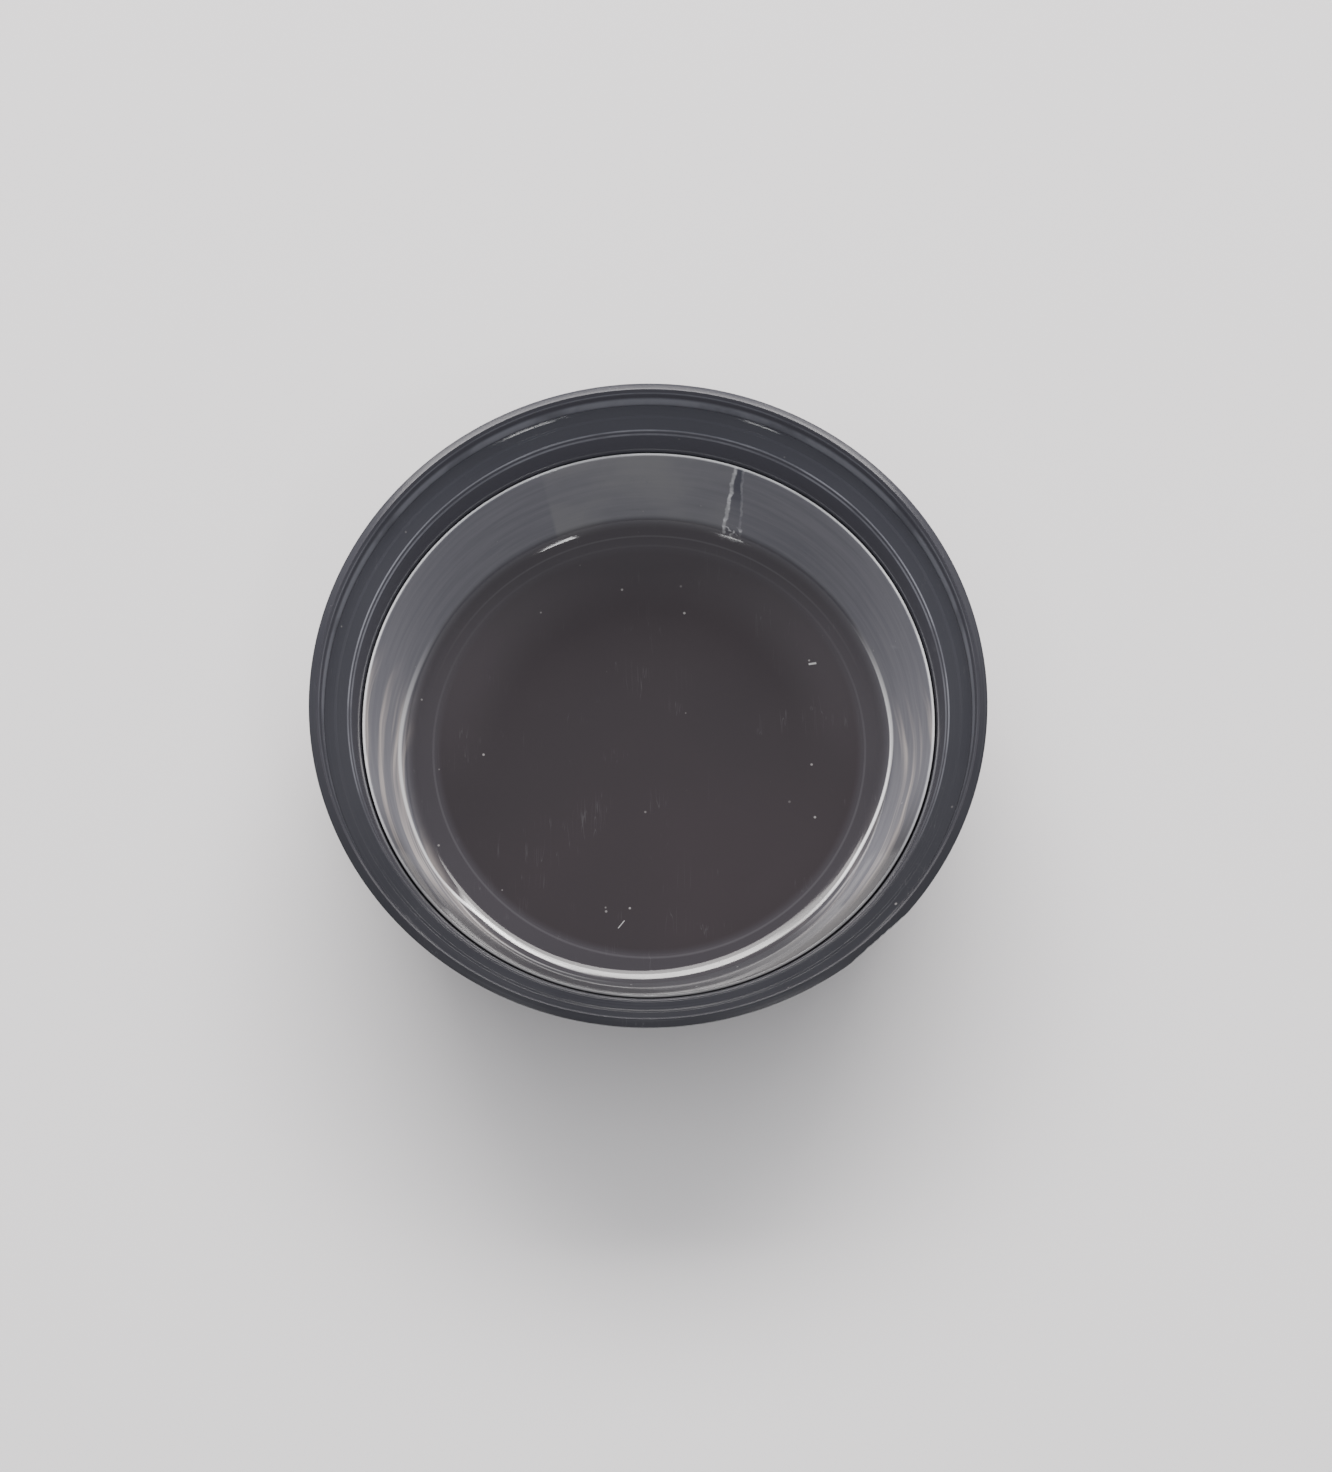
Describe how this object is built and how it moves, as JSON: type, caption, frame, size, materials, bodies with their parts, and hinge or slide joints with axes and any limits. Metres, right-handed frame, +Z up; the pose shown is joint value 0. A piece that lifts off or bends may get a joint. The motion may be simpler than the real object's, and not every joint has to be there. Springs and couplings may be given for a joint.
{
  "type": "dappen dish",
  "caption": "Shallow round dappen dish with a stepped rim, a lift-out tapered well cup and a non-slip foot pad.",
  "frame": {"origin": "centre of the foot pad's underside, on the surface the dish stands on", "axes": "+Z up along the dish's axis, out of the well; +Y is the side away from the camera of the picture, and the trimmed gate mark on the lip lies between +X and -Y"},
  "size_m": [0.0498, 0.0498, 0.0171],
  "materials": {
    "outer_shell": "glossy black moulded plastic with fine wipe marks",
    "rim_collar": "glossy black moulded plastic with fine concentric lines",
    "well_cup": "glossy dark smoke moulded plastic, lightly scratched on the floor",
    "foot_pad": "matte black silicone"
  },
  "bodies": {
    "dish": {"outer_shell": "outer_shell", "rim_collar": "rim_collar", "foot_pad": "foot_pad"},
    "cup": {"well_cup": "well_cup"}
  },
  "joints": [
    {"name": "well_cup_lift", "type": "slide", "parent": "dish", "child": "cup", "axis": [0, 0, 1], "range_m": [0, 0.03]}
  ]
}
